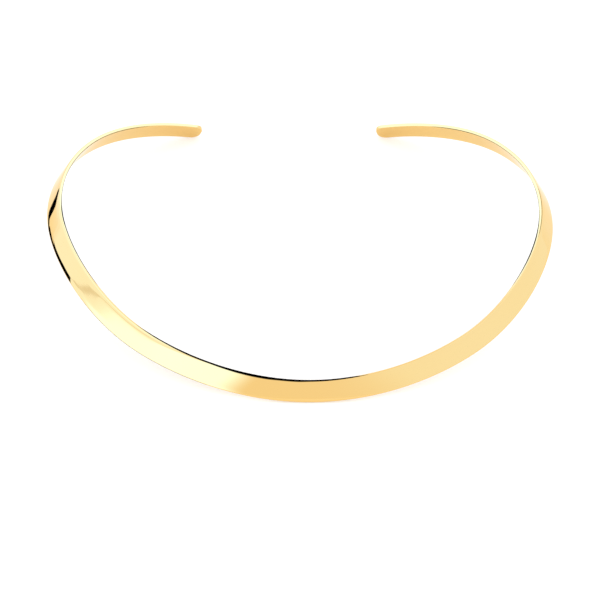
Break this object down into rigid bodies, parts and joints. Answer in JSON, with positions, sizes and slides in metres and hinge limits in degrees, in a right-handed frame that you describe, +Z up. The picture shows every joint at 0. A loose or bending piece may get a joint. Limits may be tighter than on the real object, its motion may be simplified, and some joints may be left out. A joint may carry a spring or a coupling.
{
  "type": "choker",
  "caption": "Rigid open collar choker: a flat polished gold strip, flared and bent to the neck's oval, with a gap at the back between rounded tips.",
  "frame": {"origin": "middle of the collar's box in plan, on the surface that it rests on", "axes": "+Z up, +X across the neck to the wearer's left, +Y to the back, where the collar is open; the front centre faces -Y"},
  "size_m": [0.1296, 0.1138, 0.0189],
  "materials": {
    "polished_gold": "gold plated and polished to a mirror"
  },
  "bodies": {
    "root": {"collar_band": "polished_gold"}
  },
  "joints": []
}
